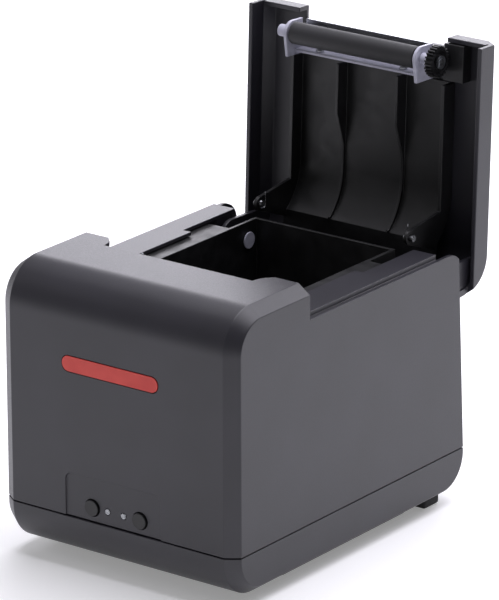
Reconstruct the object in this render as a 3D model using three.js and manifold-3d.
// Desktop receipt printer for 80 mm paper, with its lid swung open.
// Millimetres, +Z up, front towards -Y. Built in a case frame: X from the middle,
// Y from the front face to the rear, Z from the underside of the base tray.
import * as THREE from 'three';
import { mergeVertices } from 'three/addons/utils/BufferGeometryUtils.js';
import Module from 'manifold-3d';

const wasm = await Module();
wasm.setup();

// ---------- driving dimensions ----------
const caseWidth = 145;
const caseHeight = 148;
const caseDepth = 199.8;
const rearDraft = THREE.MathUtils.degToRad(3);
const cornerRadius = 22;
const chamferAcross = 7;
const chamferIn = 5;
const wall = 2.5;
const partingHeight = 24.2;
const partingGap = 0.5;

const hinge = { y: 182.5, z: caseHeight - 35.5, pinRadius: 3, pinClearance: 0.15 };
const lidOpenAngle = THREE.MathUtils.degToRad(92.2);
const lidGap = 0.8;
const sideTopDrop = 17.6;
const lidRearEdge = caseHeight - 43;
const rearWallTop = caseHeight - 47;
const rearCornerRound = 11;

const coverMiddleEdge = 50.4;
const coverHornEdge = 61.1;
const hornInner = 45.6;
const hornFlare = 6.8;
const lidMiddleEdge = 68.5;
const earInner = 46;

const railTop = caseHeight - 15;
const railThickness = 2;
const railFrontInner = 51;
const railRearInner = 56;
const railJog = 128;
const railEnd = 171.5;

const paperWidth = 80;
const bucketClearance = 2;
const roll = { y: 129, z: caseHeight - 48, radius: 41, clearance: 1 };
const bucketWall = 2;
const bucketRim = caseHeight - 30;

const platen = {
  x: -2.7,
  y: 72.1,
  z: caseHeight - 19.2,
  radius: 5.8,
  half: 38.4,
  core: 4,
  journal: 2,
  end: 50.6,
};
const headGap = 0.35;
const gearModule = 0.6;
const gearWidth = 4.2;
const gearPlaneX = 45.2;
const platenTeeth = 26;
const idlerTeeth = 30;
const pinionTeeth = 14;
const meshClearance = 0.1;

const buttonRadius = 4.2;
const buttonTravel = 0.8;
const buttonClearance = 0.3;
const controlHeight = 31.2;
const footHeight = 4.5;
const seat = 0.3;
const pinFit = 0.15;

const screwRadius = 1.5;
const screwHeadRadius = 2.8;
const screwHole = 1.9;
const screwHeadHole = 3.4;
const bracketScrewHole = 1.7;

// ---------- colours ----------
const plastic = { color: 0x3a3a3e, roughness: 0.62, metalness: 0 };
const blackPlastic = { color: 0x161618, roughness: 0.55, metalness: 0 };
const lightPlastic = { color: 0xb4b4be, roughness: 0.5, metalness: 0 };
const steel = { color: 0xb9bbc0, roughness: 0.35, metalness: 0.9 };
const zinc = { color: 0x8e9196, roughness: 0.45, metalness: 0.8 };
const alloy = { color: 0xa5a8ad, roughness: 0.4, metalness: 0.85 };
const rubber = { color: 0x2a2a2d, roughness: 0.85, metalness: 0 };
const board = { color: 0x1e5b3a, roughness: 0.6, metalness: 0 };
const gearPlastic = { color: 0x18181a, roughness: 0.5, metalness: 0 };
const ceramic = { color: 0xd8d2c4, roughness: 0.3, metalness: 0 };
const markRed = { color: 0xd9463a, roughness: 0.5, metalness: 0 };
const lensGreen = { color: 0x9fb8a8, roughness: 0.25, metalness: 0 };
const label = { color: 0xc9c9cc, roughness: 0.7, metalness: 0 };

// ---------- solids ----------
const toSolid = (source) => {
  const bare = source.index ? source.toNonIndexed() : source.clone();
  bare.deleteAttribute('normal');
  bare.deleteAttribute('uv');
  const merged = mergeVertices(bare, 1e-4);
  const vertProperties = new Float32Array(merged.attributes.position.array);
  const triVerts = new Uint32Array(merged.index.array);
  return new wasm.Manifold(new wasm.Mesh({ numProp: 3, vertProperties, triVerts }));
};

const toGeometry = (solid) => {
  const mesh = solid.getMesh();
  const geometry = new THREE.BufferGeometry();
  geometry.setAttribute('position', new THREE.BufferAttribute(new Float32Array(mesh.vertProperties), 3));
  geometry.setIndex(new THREE.BufferAttribute(new Uint32Array(mesh.triVerts), 1));
  geometry.computeVertexNormals();
  return geometry;
};

const join = (first, ...others) => others.reduce((sum, next) => sum.add(next), first);
const cut = (first, ...others) => others.reduce((rest, next) => rest.subtract(next), first);

const box = (x0, x1, y0, y1, z0, z1) => {
  const geometry = new THREE.BoxGeometry(x1 - x0, y1 - y0, z1 - z0);
  geometry.translate((x0 + x1) / 2, (y0 + y1) / 2, (z0 + z1) / 2);
  return toSolid(geometry);
};

const bothSides = (x0, x1, y0, y1, z0, z1) => join(
  box(x0, x1, y0, y1, z0, z1),
  box(-x1, -x0, y0, y1, z0, z1),
);

// An axis triple (first, second, third) carries shape x, shape y and the extrusion.
const alongX = new THREE.Matrix4().makeBasis(
  new THREE.Vector3(0, 1, 0),
  new THREE.Vector3(0, 0, 1),
  new THREE.Vector3(1, 0, 0),
);
const alongY = new THREE.Matrix4().makeBasis(
  new THREE.Vector3(1, 0, 0),
  new THREE.Vector3(0, 0, 1),
  new THREE.Vector3(0, -1, 0),
);

const extrudeX = (shape, x0, x1, curveSegments = 8) => {
  const geometry = new THREE.ExtrudeGeometry(shape, { depth: x1 - x0, bevelEnabled: false, curveSegments });
  geometry.applyMatrix4(alongX);
  geometry.translate(x0, 0, 0);
  return toSolid(geometry);
};

const extrudeY = (shape, y0, y1, curveSegments = 6) => {
  const geometry = new THREE.ExtrudeGeometry(shape, { depth: y1 - y0, bevelEnabled: false, curveSegments });
  geometry.applyMatrix4(alongY);
  geometry.translate(0, y1, 0);
  return toSolid(geometry);
};

const extrudeZ = (shape, z0, z1, curveSegments = 6) => {
  const geometry = new THREE.ExtrudeGeometry(shape, { depth: z1 - z0, bevelEnabled: false, curveSegments });
  geometry.translate(0, 0, z0);
  return toSolid(geometry);
};

const polygon = (points) => new THREE.Shape(points.map(([a, b]) => new THREE.Vector2(a, b)));

const roundedRectangle = (a0, a1, b0, b1, radius) => {
  const shape = new THREE.Shape();
  shape.absarc(a1 - radius, b0 + radius, radius, -Math.PI / 2, 0);
  shape.absarc(a1 - radius, b1 - radius, radius, 0, Math.PI / 2);
  shape.absarc(a0 + radius, b1 - radius, radius, Math.PI / 2, Math.PI);
  shape.absarc(a0 + radius, b0 + radius, radius, Math.PI, 1.5 * Math.PI);
  return shape;
};

const rodX = (radius, x0, x1, y, z, sides = 16) => {
  const geometry = new THREE.CylinderGeometry(radius, radius, x1 - x0, sides);
  geometry.rotateZ(-Math.PI / 2);
  geometry.translate((x0 + x1) / 2, y, z);
  return toSolid(geometry);
};

const rodY = (radius, x, y0, y1, z, sides = 16) => {
  const geometry = new THREE.CylinderGeometry(radius, radius, y1 - y0, sides);
  geometry.translate(x, (y0 + y1) / 2, z);
  return toSolid(geometry);
};

const rodZ = (radius, x, y, z0, z1, sides = 16) => {
  const geometry = new THREE.CylinderGeometry(radius, radius, z1 - z0, sides);
  geometry.rotateX(Math.PI / 2);
  geometry.translate(x, y, (z0 + z1) / 2);
  return toSolid(geometry);
};

// ---------- scene graph ----------
const printer = new THREE.Group();
const lid = new THREE.Group();
lid.position.set(0, hinge.y, hinge.z);
lid.rotation.x = -lidOpenAngle;
const lidFrame = new THREE.Group();
lidFrame.position.set(0, -hinge.y, -hinge.z);
lid.add(lidFrame);
printer.add(lid);

const place = (name, solid, look, group = printer) => {
  const mesh = new THREE.Mesh(toGeometry(solid), new THREE.MeshStandardMaterial(look));
  mesh.name = name;
  group.add(mesh);
};

// ---------- case ----------
// Side outline of the closed case, drawn inside the outer face by the inset.
const caseOutline = (inset) => {
  const radius = cornerRadius - inset;
  const rearAtBase = caseDepth - inset / Math.cos(rearDraft);
  const rearCentre = (height) => rearAtBase - (radius + height * Math.sin(rearDraft)) / Math.cos(rearDraft);
  const low = cornerRadius;
  const high = caseHeight - cornerRadius;
  const shape = new THREE.Shape();
  shape.absarc(rearCentre(low), low, radius, -Math.PI / 2, rearDraft);
  shape.absarc(rearCentre(high), high, radius, rearDraft, Math.PI / 2);
  shape.absarc(cornerRadius, high, radius, Math.PI / 2, Math.PI);
  shape.absarc(cornerRadius, low, radius, Math.PI, 1.5 * Math.PI);
  return shape;
};

// The closed case as one chamfered block, shrunk on every face by the inset.
const caseBlock = (inset) => {
  const geometry = new THREE.ExtrudeGeometry(caseOutline(inset), {
    depth: caseWidth - 2 * chamferAcross,
    bevelThickness: chamferAcross - inset,
    bevelSize: chamferIn,
    bevelOffset: -chamferIn,
    bevelSegments: 1,
    curveSegments: 16,
  });
  geometry.applyMatrix4(alongX);
  geometry.translate(-(caseWidth / 2 - chamferAcross), 0, 0);
  return toSolid(geometry);
};

const far = 400;
const above = (height) => box(-far, far, -far, far, height, far);
const below = (height) => box(-far, far, -far, far, -far, height);
const caseShell = cut(caseBlock(0), caseBlock(wall));
const sideTop = caseHeight - sideTopDrop;
const innerSide = caseWidth / 2 - wall;

// Side walls round down behind the rail end, leaving room for the lid's rear corner.
const rearCornerNotch = () => {
  const corner = box(-far, far, hinge.y - 2.5, far, sideTop - rearCornerRound, far);
  const round = rodX(rearCornerRound, -far, far, hinge.y - 2.5, sideTop - rearCornerRound, 32);
  return cut(corner, round);
};

// Opening in the top cover: a straight edge between two shoulders with flared inner ends.
const coverOpening = () => {
  const shape = new THREE.Shape();
  shape.moveTo(-hornInner, coverMiddleEdge);
  shape.lineTo(hornInner, coverMiddleEdge);
  shape.quadraticCurveTo(hornInner + 0.4, coverHornEdge - 5, hornInner + 3.5, coverHornEdge - 2.5);
  shape.lineTo(hornInner + hornFlare, coverHornEdge + 1);
  shape.lineTo(-(hornInner + hornFlare), coverHornEdge + 1);
  shape.lineTo(-(hornInner + 3.5), coverHornEdge - 2.5);
  shape.quadraticCurveTo(-(hornInner + 0.4), coverHornEdge - 5, -hornInner, coverMiddleEdge);
  return extrudeZ(shape, sideTop, far);
};

// Rails inside the side walls, wider at the front of the paper opening than at the rear.
const rails = () => {
  const low = railTop - railThickness;
  const outer = innerSide - 0.3;
  const front = bothSides(railFrontInner, outer, coverMiddleEdge, railJog, low, railTop);
  const rear = bothSides(railRearInner, outer, railJog - 2, railEnd, low, railTop);
  const rib = bothSides(outer - wall, outer, coverMiddleEdge, railEnd, sideTop - 8, railTop);
  const root = bothSides(outer - wall, innerSide + 0.5, coverMiddleEdge, railEnd, sideTop - 8, sideTop);
  return join(front, rear, rib, root);
};

const controlPocket = { x0: -32, x1: 27, top: 47, depth: 0.8, radius: 4 };
const buttonPlaces = { power: -15.9, feed: 13.7 };
const lensPlaces = { power: -6.4, error: 3.5 };
const lensRadius = 1.5;
const markBar = { x0: -33, x1: 26, z0: caseHeight - 48, z1: caseHeight - 40, depth: 0.6, clearance: 0.25 };

const controlCuts = () => {
  const { x0, x1, top, depth, radius } = controlPocket;
  const pocket = extrudeY(roundedRectangle(x0, x1, partingHeight - 10, top, radius), -1, depth);
  const buttonHoles = Object.values(buttonPlaces).map(
    (x) => rodY(buttonRadius + buttonClearance, x, -1, wall + 1, controlHeight, 24),
  );
  const lensHoles = Object.values(lensPlaces).map(
    (x) => rodY(lensRadius + 0.25, x, -1, wall + 1, controlHeight, 12),
  );
  return join(pocket, ...buttonHoles, ...lensHoles);
};

const markShape = (grow) => roundedRectangle(
  markBar.x0 - grow,
  markBar.x1 + grow,
  markBar.z0 - grow,
  markBar.z1 + grow,
  (markBar.z1 - markBar.z0) / 2 - 0.01,
);

// Rear sockets, each a hole in the connector plate: [name, middle x, middle z, width, height].
const socketHeight = 30;
const socketWall = 1.5;
const sockets = [
  ['power_inlet', -48, 14, 12],
  ['drawer_port', -20, 14, 14],
  ['network_port', 6, 16, 14],
  ['usb_port', 34, 12, 11],
];
const connectorBay = { x: 60, z0: 15, z1: 45, depth: 8 };
const rearFaceAt = (z) => caseDepth - z * Math.tan(rearDraft);
const bayFloor = rearFaceAt(connectorBay.z1) - connectorBay.depth;
const upperBayClear = 0.4;

const pinBosses = () => {
  const reach = innerSide + 0.5;
  const side = (x0, x1) => rodX(hinge.pinRadius + 3, x0, x1, hinge.y, hinge.z, 24);
  return join(side(innerSide - 1, reach), side(-reach, -(innerSide - 1)));
};

const hingePinHoles = (radius) => rodX(radius, -(innerSide + 1), innerSide + 1, hinge.y, hinge.z, 20);

const upperHousing = () => {
  const bodyShell = cut(
    caseShell,
    below(partingHeight),
    box(-far, far, coverHornEdge, far, sideTop, far),
    box(-(innerSide - 0.7), innerSide - 0.7, hinge.y - 2.5, far, rearWallTop, far),
    rearCornerNotch(),
    coverOpening(),
  );
  const ties = caseScrewRows.map(
    (y) => bothSides(caseScrewX - 4, innerSide + 0.5, y - 5, y + 5, partingHeight, partingHeight + 12),
  );
  const screwHoles = caseScrewPlaces.map(
    ([x, y]) => rodZ(screwHole, x, y, partingHeight - 1, partingHeight + 10, 12),
  );
  const bayHalf = connectorBay.x + 1;
  const bay = box(-bayHalf, bayHalf, bayFloor - 1, far, 0, connectorBay.z1 + upperBayClear);
  return cut(
    join(bodyShell, rails(), pinBosses(), ...ties),
    controlCuts(),
    extrudeY(markShape(markBar.clearance), -1, markBar.depth + seat),
    hingePinHoles(hinge.pinRadius + hinge.pinClearance),
    bay,
    ...screwHoles,
  );
};

const footPlaces = [[-50, 40], [50, 40], [-59, 176], [59, 176]];
const footHalf = 6.5;
const footSeatDepth = 1;
const caseScrewX = 62;
const caseScrewRows = [48, 150];
const caseScrewPlaces = caseScrewRows.flatMap((y) => [[-caseScrewX, y], [caseScrewX, y]]);

const baseTray = () => {
  const tray = cut(caseShell, above(partingHeight - partingGap));
  const lip = cut(
    caseBlock(wall + 0.35),
    caseBlock(wall + 2),
    above(partingHeight + 3),
    below(partingHeight - 7),
    box(-innerSide + 10, innerSide - 10, -far, far, partingHeight - 1, far),
    ...caseScrewRows.map((y) => bothSides(innerSide - 15, far, y - 8, y + 8, -far, far)),
  );
  const lipRoot = cut(
    caseBlock(wall - 0.3),
    caseBlock(wall + 2),
    above(partingHeight - 3),
    below(partingHeight - 7),
  );
  const screwPosts = caseScrewPlaces.map(([x, y]) => rodZ(4, x, y, 1, partingHeight - partingGap, 16));
  const screwHoles = caseScrewPlaces.map(([x, y]) => rodZ(screwHole, x, y, -1, partingHeight, 12));
  const screwHeads = caseScrewPlaces.map(([x, y]) => rodZ(screwHeadHole, x, y, -1, 8, 16));
  const footSeats = footPlaces.map(([x, y]) => box(
    x - footHalf - seat,
    x + footHalf + seat,
    y - footHalf - seat,
    y + footHalf + seat,
    -1,
    footSeatDepth + seat,
  ));
  const labelSeat = box(-30.3, 30.3, 79.7, 120.3, -1, 0.6);
  const bayHalf = connectorBay.x + 1;
  const bay = box(-bayHalf, bayHalf, bayFloor - 1, far, connectorBay.z0 - upperBayClear, far);
  return cut(
    join(tray, lip, lipRoot, ...screwPosts),
    ...screwHoles,
    ...screwHeads,
    ...footSeats,
    labelSeat,
    bay,
  );
};

// Connector plate: a shallow bay that closes the rear opening, with one hole for each socket.
const connectorPlate = () => {
  const { x, z0, z1 } = connectorBay;
  const outline = polygon([
    [bayFloor, z0],
    [rearFaceAt(z0) - 1.2, z0],
    [rearFaceAt(z1) - 1.2, z1],
    [bayFloor, z1],
  ]);
  const block = extrudeX(outline, -x, x);
  const inside = polygon([
    [bayFloor + 2, z0 + 1.5],
    [rearFaceAt(z0) + 1, z0 + 1.5],
    [rearFaceAt(z1) + 1, z1 - 1.5],
    [bayFloor + 2, z1 - 1.5],
  ]);
  const holes = sockets.map(([, middle, width, height]) => box(
    middle - width / 2 - seat,
    middle + width / 2 + seat,
    bayFloor - 1,
    bayFloor + 3,
    socketHeight - height / 2 - seat,
    socketHeight + height / 2 + seat,
  ));
  return cut(block, extrudeX(inside, -x + 1.5, x - 1.5), ...holes);
};

// A socket body with a square mouth; its depth runs forward onto the main board.
const socket = (middle, width, height) => {
  const half = width / 2;
  const low = socketHeight - height / 2;
  const inner = half - socketWall;
  const floor = low + socketWall;
  const roof = low + height - socketWall;
  const body = box(middle - half, middle + half, bayFloor - 13, bayFloor + 3, low, low + height);
  return cut(body, box(middle - inner, middle + inner, bayFloor - 9, bayFloor + 4, floor, roof));
};

const endSensor = { y: roll.y + 34.8, z: roll.z + 20.7, radius: 4.5, stem: 2.5 };

const bucket = () => {
  const inner = roll.radius + roll.clearance;
  const outer = inner + bucketWall;
  const half = paperWidth / 2 + bucketClearance;
  const trough = (radius, top) => {
    const shape = new THREE.Shape();
    shape.moveTo(roll.y + radius, top);
    shape.lineTo(roll.y - radius, top);
    shape.absarc(roll.y, roll.z, radius, Math.PI, 2 * Math.PI);
    return shape;
  };
  const flangeTop = railTop - railThickness - 0.5;
  const flangeEnd = stopPin.y - 10;
  const shell = extrudeX(trough(outer, flangeTop), -(half + bucketWall), half + bucketWall, 14);
  const frontRelief = box(-half, half, roll.y - outer - 1, roll.y - inner + 1, bucketRim, far);
  const flanges = bothSides(half, railRearInner + 3, roll.y - outer, flangeEnd, flangeTop - 2, flangeTop);
  const hollow = extrudeX(trough(inner, far), -half, half, 14);
  const sensorHole = rodX(endSensor.stem + seat, -far, 0, endSensor.y, endSensor.z, 14);
  const paperSensorHole = box(-6.4, 6.4, roll.y - outer - 1, roll.y - inner + 1, roll.z + 1, roll.z + 9);
  return cut(join(shell, flanges), hollow, frontRelief, sensorHole, paperSensorHole);
};

// ---------- front controls ----------
const buttonRear = 5.4;
const boardFront = 9;

const button = (x) => join(
  rodY(buttonRadius, x, -0.4, buttonRear - 1, controlHeight, 24),
  rodY(buttonRadius + 1, x, wall + seat, wall + 1.2, controlHeight, 24),
  rodY(1.5, x, buttonRear - 2, buttonRear, controlHeight, 12),
);

const tactSwitch = (x) => join(
  box(x - 3, x + 3, boardFront - 2.6, boardFront - seat, controlHeight - 3, controlHeight + 3),
  rodY(1.6, x, buttonRear + buttonTravel + 0.15, boardFront - 1, controlHeight, 12),
);

const lens = (x) => join(
  rodY(lensRadius, x, controlPocket.depth - 0.2, wall + 1.2, controlHeight, 12),
  rodY(lensRadius + 0.8, x, wall + seat, boardFront - seat, controlHeight, 12),
);

// ---------- print mechanism ----------
const plateInner = 43.1;
const plateThickness = 1.2;
const plateOuter = plateInner + plateThickness;
const plateLeft = plateInner + 1.1;
const plateLeftOuter = plateLeft + plateThickness;
const frameFront = 49.8;
const frameRear = 80;
const frameBase = platen.z - 44.8;
const bushRadius = 3.2;
const cutterTop = caseHeight - 7;
const headLow = platen.z - 10.8;
const headHigh = platen.z + 4.7;
const headPivot = { y: 59, z: platen.z - 13.3, radius: 1.5 };
const motorRadius = 12.5;
const idlerAxle = 1.5;

const pitchRadius = (teeth) => gearModule * teeth / 2;
const addendum = 0.85 * gearModule;
const platenToIdler = pitchRadius(platenTeeth) + pitchRadius(idlerTeeth) + 2 * addendum + 0.4;
const idlerBearing = THREE.MathUtils.degToRad(243);
const idler = {
  y: platen.y + platenToIdler * Math.cos(idlerBearing),
  z: platen.z + platenToIdler * Math.sin(idlerBearing),
};
const pinionBearing = THREE.MathUtils.degToRad(-85);
const idlerToPinion = pitchRadius(idlerTeeth) + pitchRadius(pinionTeeth) + meshClearance;
const pinion = {
  y: idler.y + idlerToPinion * Math.cos(pinionBearing),
  z: idler.z + idlerToPinion * Math.sin(pinionBearing),
};

// A straight-flanked spur gear in the side plane, first tooth turned to the given bearing.
const gear = (teeth, centre, bearing, bore) => {
  const step = 2 * Math.PI / teeth;
  const tip = pitchRadius(teeth) + addendum;
  const root = pitchRadius(teeth) - 1.2 * gearModule;
  const flanks = [[-0.27, root], [-0.1, tip], [0.1, tip], [0.27, root]];
  const points = [];
  for (let tooth = 0; tooth < teeth; tooth += 1) {
    for (const [share, radius] of flanks) {
      const angle = bearing + (tooth + share) * step;
      points.push([centre.y + radius * Math.cos(angle), centre.z + radius * Math.sin(angle)]);
    }
  }
  const body = extrudeX(polygon(points), gearPlaneX, gearPlaneX + gearWidth);
  return cut(body, rodX(bore, gearPlaneX - 1, gearPlaneX + gearWidth + 1, centre.y, centre.z, 16));
};

const mechanismFrame = () => {
  const notch = bushRadius + 0.3;
  const top = platen.z + 7.2;
  const side = polygon([
    [frameFront, frameBase],
    [frameRear, frameBase],
    [frameRear, top],
    [platen.y + notch + 3.5, top],
    [platen.y + notch, platen.z],
    [platen.y + notch * 0.7, platen.z - notch * 0.7],
    [platen.y, platen.z - notch],
    [platen.y - notch * 0.7, platen.z - notch * 0.7],
    [platen.y - notch, platen.z],
    [platen.y - notch, top],
    [63, top],
    [63, cutterTop],
    [frameFront, cutterTop],
  ]);
  const plates = join(
    extrudeX(side, plateInner, plateOuter),
    extrudeX(side, -plateLeftOuter, -plateLeft),
  );
  const baseTop = frameBase + plateThickness;
  const frontRear = frameFront + plateThickness;
  const base = box(-plateLeftOuter, plateOuter, frameFront, frameRear, frameBase, baseTop);
  const front = box(-plateLeftOuter, plateOuter, frameFront, frontRear, frameBase, headHigh - 0.5);
  const pivotHoles = rodX(headPivot.radius + pinFit, -far, far, headPivot.y, headPivot.z, 12);
  const shaftHole = rodX(3, 0, far, pinion.y, pinion.z, 16);
  const axleHole = rodX(idlerAxle + pinFit, 0, far, idler.y, idler.z, 12);
  return cut(join(plates, base, front), pivotHoles, shaftHole, axleHole);
};

const stepperMotor = () => join(
  rodX(motorRadius, 21, plateInner - seat, pinion.y, pinion.z, 28),
  rodX(2.6, plateInner - 1, plateInner + 0.6, pinion.y, pinion.z, 14),
  rodX(1, plateInner, gearPlaneX + gearWidth + 1, pinion.y, pinion.z, 12),
);

const heatSink = () => {
  const body = box(-41, 41, 56, 62.4, headPivot.z - 2.5, headHigh);
  const slots = [];
  for (let x = -36; x <= 36; x += 6) {
    slots.push(box(x - 1.5, x + 1.5, 55, 59, headLow + 1.5, headHigh - 1.5));
  }
  return cut(body, rodX(headPivot.radius + 0.2, -far, far, headPivot.y, headPivot.z, 12), ...slots);
};

const headHalf = platen.half + 0.5;
const headFace = platen.y - platen.radius - headGap;

const headSpring = (x) => {
  const leaf = polygon([
    [frameFront + plateThickness + seat, headLow],
    [frameFront + plateThickness + seat, headHigh - 2.5],
    [54.2, headHigh - 5],
    [54.5, headHigh - 7],
    [52.2, headHigh - 4.5],
    [52.2, headLow],
  ]);
  return extrudeX(leaf, x - 5, x + 5);
};

const tearBar = () => {
  const shape = new THREE.Shape();
  const half = plateInner - 0.5;
  const edge = 64.6;
  const pitch = 2 * half / 42;
  shape.moveTo(-half, frameFront + 1.2);
  shape.lineTo(half, frameFront + 1.2);
  for (let tooth = 0; tooth < 42; tooth += 1) {
    shape.lineTo(half - tooth * pitch, edge - 1);
    shape.lineTo(half - (tooth + 0.5) * pitch, edge);
  }
  shape.lineTo(-half, edge - 1);
  return extrudeZ(shape, cutterTop - 1.6, cutterTop);
};

const cutterFrame = () => {
  const half = plateInner - 0.4;
  const body = box(-half, half, frameFront + 1.2, 62.5, cutterTop - 6.7, cutterTop - 3.8);
  const sides = bothSides(40.6, half, frameFront + 1.2, 62.5, cutterTop - 4.5, cutterTop - 2);
  return join(body, sides);
};

// ---------- boards ----------
const mainBoard = () => {
  const plate = box(-57, 57, 84, bayFloor - 1, 20.9, 22.5);
  const holes = boardPosts.map(([x, y]) => rodZ(1.7, x, y, 20, 24, 12));
  return cut(plate, ...holes);
};
const boardPosts = [[-53, 90], [53, 90], [-53, 160], [53, 160]];
const framePosts = [[-36, 56], [36, 56], [-36, 74], [36, 74]];
const stopPin = { y: hinge.y - 22.4, z: hinge.z - 2.9, radius: 1.6 };

const trayPosts = () => join(
  ...boardPosts.map(([x, y]) => rodZ(3, x, y, 1, 20.6, 12)),
  ...framePosts.map(([x, y]) => rodZ(4, x, y, 1, frameBase - seat, 12)),
);

// ---------- lid, drawn in its closed position ----------
const roofInner = caseHeight - wall;
const liner = {
  y: 143,
  z: caseHeight - 37,
  thickness: 1.8,
  front: 86,
  ribX: 18.5,
  wallX: 47,
  ribDepth: 8,
  ribDeepEnd: 112,
  ribTaperEnd: 130,
  ridge: 1.4,
};
const linerInner = roofInner - seat - liner.thickness - liner.z;
const linerEnd = THREE.MathUtils.degToRad(40);
const cheekInner = innerSide - 4.5;
const cheekOuter = innerSide - 2;

const endWallDepth = 6;

const lidShell = () => {
  const front = coverHornEdge + lidGap;
  const skirtEdge = sideTop + lidGap;
  const cap = cut(
    caseShell,
    below(skirtEdge),
    box(-far, far, -far, front, -far, far),
    box(-earInner, earInner, -far, lidMiddleEdge, -far, far),
  );
  const middleReach = gearPlaneX - seat;
  const endWall = caseBlock(0.6).intersect(join(
    bothSides(earInner, innerSide - 1, front, front + wall, roofInner - endWallDepth, caseHeight),
    box(-middleReach, middleReach, lidMiddleEdge, lidMiddleEdge + wall, cutterTop + 0.5, caseHeight),
  ));
  const reach = innerSide - 1.3;
  const rearStrip = caseShell.intersect(box(-reach, reach, hinge.y + 2, far, lidRearEdge, skirtEdge + 1));
  const cheekShape = new THREE.Shape();
  cheekShape.moveTo(hinge.y + 11.5, caseHeight);
  cheekShape.lineTo(hinge.y - 10, caseHeight);
  cheekShape.absarc(hinge.y, hinge.z, 10, Math.PI, 1.5 * Math.PI);
  cheekShape.lineTo(hinge.y + 7.5, lidRearEdge);
  cheekShape.lineTo(hinge.y + 11.5, lidRearEdge);
  const cheeks = join(
    extrudeX(cheekShape, cheekInner, cheekOuter),
    extrudeX(cheekShape, -cheekOuter, -cheekInner),
  ).intersect(caseBlock(1));
  return cut(join(cap, endWall, rearStrip, cheeks), hingePinHoles(hinge.pinRadius + hinge.pinClearance));
};

// Curved paper guide over the roll, with two tapering ribs, two side walls and stop arms.
const linerShape = () => {
  const { y, z, thickness, front } = liner;
  const shape = new THREE.Shape();
  const outer = linerInner + thickness;
  const rear = rearFaceAt(railTop + 2) - wall - 2;
  const lipZ = z + linerInner * Math.sin(linerEnd);
  shape.moveTo(front, z + linerInner);
  shape.lineTo(y, z + linerInner);
  shape.absarc(y, z, linerInner, Math.PI / 2, linerEnd, true);
  shape.lineTo(rear, lipZ);
  shape.lineTo(rear, lipZ + thickness);
  shape.lineTo(y + outer * Math.cos(linerEnd), lipZ + thickness);
  shape.absarc(y, z, outer, linerEnd + 0.06, Math.PI / 2, false);
  shape.lineTo(front, z + outer);
  return shape;
};

const paperGuide = () => {
  const { y, z, thickness, front, ribX, wallX, ribDepth, ribDeepEnd, ribTaperEnd, ridge } = liner;
  const sheet = extrudeX(linerShape(), -(wallX + 1), wallX + 1, 10);
  const edge = z + linerInner;
  const rib = new THREE.Shape();
  rib.moveTo(front, edge + thickness / 2);
  rib.lineTo(front, edge - ribDepth);
  rib.lineTo(ribDeepEnd, edge - ribDepth);
  rib.lineTo(ribTaperEnd, edge - ridge);
  rib.absarc(y, z, linerInner - ridge, Math.PI / 2, linerEnd, true);
  rib.lineTo(y + (linerInner + 0.9) * Math.cos(linerEnd), z + (linerInner + 0.9) * Math.sin(linerEnd));
  rib.absarc(y, z, linerInner + 0.9, linerEnd, Math.PI / 2, false);
  const ribs = [-ribX, ribX].map((x) => extrudeX(rib, x - 0.8, x + 0.8, 10));
  const armEnd = new THREE.Shape();
  armEnd.moveTo(front, edge + thickness / 2);
  armEnd.lineTo(front, edge - ribDepth);
  armEnd.lineTo(stopPin.y - 8, edge - ribDepth);
  armEnd.lineTo(stopPin.y - 4, stopPin.z);
  armEnd.absarc(stopPin.y, stopPin.z, 4, Math.PI, 2 * Math.PI);
  armEnd.lineTo(y + linerInner * Math.cos(linerEnd) + 4, z + linerInner * Math.sin(linerEnd) + 0.5);
  armEnd.lineTo(y + (linerInner + 0.9) * Math.cos(linerEnd), z + (linerInner + 0.9) * Math.sin(linerEnd));
  armEnd.absarc(y, z, linerInner + 0.9, linerEnd, Math.PI / 2, false);
  const arms = [-wallX, wallX].map((x) => extrudeX(armEnd, x - 1, x + 1, 10));
  const pinHole = rodX(stopPin.radius + 0.2, -far, far, stopPin.y, stopPin.z, 12);
  return cut(join(sheet, ...ribs, ...arms), pinHole);
};

const cheekReach = platen.half + 0.9;
const cheekLeft = platen.x - cheekReach;
const cheekRight = platen.x + cheekReach;
const cheekThickness = 1.8;
const bracketLeft = cheekLeft - cheekThickness;
const bracketRight = cheekRight + cheekThickness;
const bracketFront = lidMiddleEdge + wall + 0.5;
const bracketRear = 85;
const shelfFront = 81.2;
const shelfRear = 82.6;
const cheekRear = roll.y - roll.radius - roll.clearance - bucketWall - 2 * seat;
const platenBracket = () => {
  const top = roofInner - seat;
  const plate = box(bracketLeft, bracketRight, bracketFront, bracketRear, cutterTop + 0.5, top);
  const shelf = box(bracketLeft, bracketRight, shelfFront, shelfRear, platen.z + 1.7, top);
  const side = new THREE.Shape();
  side.moveTo(cheekRear, top);
  side.lineTo(66, top);
  side.absarc(platen.y, platen.z, 6.3, Math.PI, 1.5 * Math.PI);
  side.lineTo(cheekRear, platen.z - 4);
  const cheeks = join(
    extrudeX(side, cheekRight, bracketRight),
    extrudeX(side, bracketLeft, cheekLeft),
  );
  const frontRelief = box(-far, far, 0, bracketFront, cutterTop - 3.8, far);
  const shaftHole = rodX(platen.journal + 0.3, -far, far, platen.y, platen.z, 16);
  const screwHoles = bracketScrewX.map((x) => rodZ(bracketScrewHole, x, bracketScrewY, cutterTop, far, 12));
  return cut(join(plate, shelf, cut(cheeks, frontRelief)), shaftHole, ...screwHoles);
};
const bracketScrewX = [-32, 32].map((x) => platen.x + x);
const bracketScrewY = 75;

const fixedBlade = () => cut(
  box(cheekLeft + seat, cheekRight - seat, 66.8, 78, cutterTop - 1.4, cutterTop),
  ...bracketScrewX.map((x) => rodZ(bracketScrewHole, x, bracketScrewY, cutterTop - 3, cutterTop + 1, 12)),
);

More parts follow.
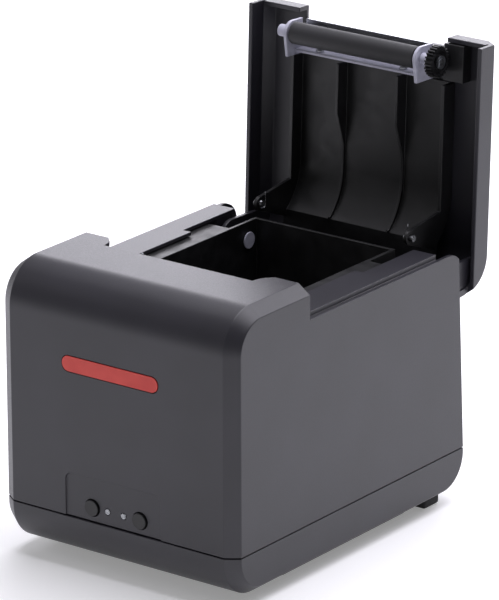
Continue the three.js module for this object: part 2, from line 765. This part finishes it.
const bush = (x0, x1) => cut(
  rodX(bushRadius, x0, x1, platen.y, platen.z, 20),
  rodX(platen.journal + 0.12, x0 - 1, x1 + 1, platen.y, platen.z, 20),
);

const platenShaft = () => {
  const { core, journal, half, end } = platen;
  const step = half + 0.3;
  const points = [
    [0, -end], [journal, -end], [journal, platen.x - step], [core, platen.x - step],
    [core, platen.x + step], [journal, platen.x + step], [journal, end], [0, end],
  ];
  const profile = points.map(([radius, x]) => new THREE.Vector2(radius, x));
  const geometry = new THREE.LatheGeometry(profile, 20);
  geometry.rotateZ(-Math.PI / 2);
  geometry.translate(0, platen.y, platen.z);
  return toSolid(geometry);
};

const platenSleeve = () => cut(
  rodX(platen.radius, platen.x - platen.half, platen.x + platen.half, platen.y, platen.z, 32),
  rodX(platen.core + 0.15, platen.x - platen.half - 1, platen.x + platen.half + 1, platen.y, platen.z, 20),
);

// Round knob on the left compartment wall; its stem passes through the wall.
const endSensorKnob = () => {
  const face = -(paperWidth / 2 + bucketClearance);
  return join(
    rodX(endSensor.radius, face + seat, face + 1.2, endSensor.y, endSensor.z, 24),
    rodX(endSensor.stem, face - bucketWall - seat, face + 1, endSensor.y, endSensor.z, 14),
  );
};

const ringX = (outer, inner, x0, x1, y, z) => cut(
  rodX(outer, x0, x1, y, z, 20),
  rodX(inner, x0 - 1, x1 + 1, y, z, 16),
);

// Open box behind the platen gear that keeps fingers and paper away from its teeth.
const guardFront = coverHornEdge + lidGap + wall + seat;

const gearGuard = () => {
  const top = roofInner - seat;
  const floor = platen.z + pitchRadius(platenTeeth) + addendum + 0.8;
  const inner = gearPlaneX;
  const outer = gearPlaneX + 12;
  return join(
    box(inner, outer, guardFront, 84, floor, floor + 1.4),
    box(inner, outer, guardFront, guardFront + 1.4, floor, top),
    box(inner, outer, 82.6, 84, floor, top),
    box(outer - 1.4, outer, guardFront, 84, floor, top),
  );
};

const screw = (x, y, z0, z1, headZ0, headZ1, radius = screwRadius, head = screwHeadRadius) => join(
  rodZ(radius, x, y, z0, z1, 12),
  rodZ(head, x, y, headZ0, headZ1, 16),
);

// ---------- assembly ----------
place('upper_housing', upperHousing(), plastic);
place('base_tray', join(baseTray(), trayPosts()), plastic);
place('connector_plate', connectorPlate(), blackPlastic);
place('paper_bucket', bucket(), blackPlastic);
place('front_mark', extrudeY(markShape(0), -0.2, markBar.depth), markRed);
for (const [name, x] of Object.entries(buttonPlaces)) {
  place(`${name}_button`, button(x), blackPlastic);
  place(`${name}_switch`, tactSwitch(x), steel);
}
for (const [name, x] of Object.entries(lensPlaces)) {
  place(`${name}_lens`, lens(x), lensGreen);
}
place('panel_board', box(-28, 26, boardFront, boardFront + 1.6, partingHeight + 3.5, 42), board);
place('mechanism_frame', mechanismFrame(), zinc);
place('stepper_motor', stepperMotor(), steel);
place('idler_axle', rodX(idlerAxle, plateInner, gearPlaneX + gearWidth + 0.6, idler.y, idler.z, 12), steel);
place('drive_idler', gear(idlerTeeth, idler, pinionBearing, 1.7), gearPlastic);
const pinionTurn = pinionBearing + Math.PI + Math.PI / pinionTeeth;
place('motor_pinion', gear(pinionTeeth, pinion, pinionTurn, 1.2), zinc);
place('heat_sink', heatSink(), alloy);
place(
  'print_head',
  box(platen.x - headHalf, platen.x + headHalf, 62.7, headFace, headLow, headHigh),
  ceramic,
);
place('head_pin', rodX(headPivot.radius, -plateLeftOuter, plateOuter, headPivot.y, headPivot.z, 12), steel);
for (const [name, x] of Object.entries({ left: -24, right: 24 })) {
  place(`head_spring_${name}`, headSpring(x), steel);
}
place('cutter_frame', cutterFrame(), blackPlastic);
place('cutter_blade', box(-40, 40, 52, 65, cutterTop - 3.4, cutterTop - 2), steel);
place('tear_bar', tearBar(), steel);
const gearboxBase = headPivot.z - 3.5;
place(
  'cutter_gearbox',
  box(-40, -14, 31, frameFront - seat, gearboxBase, gearboxBase + 12),
  blackPlastic,
);
place('cutter_motor', rodZ(8, -27, 40, frameBase + 2, gearboxBase - seat, 20), steel);
place('main_board', mainBoard(), board);
for (const [name, middle, width, height] of sockets) {
  const finish = name === 'usb_port' || name === 'network_port' ? steel : blackPlastic;
  place(name, socket(middle, width, height), finish);
}
place('near_end_sensor', endSensorKnob(), lightPlastic);
place('paper_sensor', box(-6, 6, 83, 88, roll.z + 1.4, roll.z + 8.6), blackPlastic);
for (const [name, side] of Object.entries({ left: -1, right: 1 })) {
  const ends = [side * (cheekInner - 2.5), side * (innerSide - 0.2)].sort((a, b) => a - b);
  place(`hinge_pin_${name}`, rodX(hinge.pinRadius, ends[0], ends[1], hinge.y, hinge.z, 20), steel);
  const stops = [side * 44.8, side * 50].sort((a, b) => a - b);
  const pin = rodX(stopPin.radius, stops[0], stops[1], stopPin.y, stopPin.z, 12);
  place(`stop_pin_${name}`, pin, steel, lidFrame);
}
footPlaces.forEach(([x, y], index) => {
  const pad = box(x - footHalf, x + footHalf, y - footHalf, y + footHalf, -footHeight, footSeatDepth);
  place(`foot_${index + 1}`, pad, rubber);
});
caseScrewPlaces.forEach(([x, y], index) => {
  place(`case_screw_${index + 1}`, screw(x, y, 5, partingHeight + 8, 5, 7.7), zinc);
});
place('rating_label', box(-30, 30, 80, 120, 0.1, 0.3), label);

place('lid_shell', lidShell(), plastic, lidFrame);
place('paper_guide', paperGuide(), blackPlastic, lidFrame);
place('platen_bracket', platenBracket(), lightPlastic, lidFrame);
place('fixed_blade', fixedBlade(), steel, lidFrame);
place('gear_guard', gearGuard(), blackPlastic, lidFrame);
place('platen_bush_left', bush(-platen.end + 0.6, bracketLeft - seat), lightPlastic, lidFrame);
place('platen_bush_right', bush(bracketRight + seat, gearPlaneX - seat), lightPlastic, lidFrame);
place('platen_shaft', platenShaft(), steel, lidFrame);
place('platen_sleeve', platenSleeve(), rubber, lidFrame);
place('platen_gear', gear(platenTeeth, platen, 0, platen.journal + pinFit), gearPlastic, lidFrame);
const gearOuter = gearPlaneX + gearWidth;
place(
  'shaft_clip',
  ringX(3.4, platen.journal + pinFit, gearOuter + 0.2, gearOuter + 0.9, platen.y, platen.z),
  zinc,
  lidFrame,
);
bracketScrewX.forEach((x, index) => {
  const head = [cutterTop - 3.4, cutterTop - 1.7];
  const solid = screw(x, bracketScrewY, cutterTop - 2, cutterTop + 3, ...head);
  place(`bracket_screw_${index + 1}`, solid, zinc, lidFrame);
});

// The row origin is the middle of the footprint, at the underside of the feet.
printer.updateMatrixWorld(true);
const bounds = new THREE.Box3().setFromObject(printer, true);
const middle = bounds.getCenter(new THREE.Vector3());
const root = new THREE.Group();
printer.position.set(-middle.x, -middle.y, -bounds.min.z);
root.add(printer);

export default root;
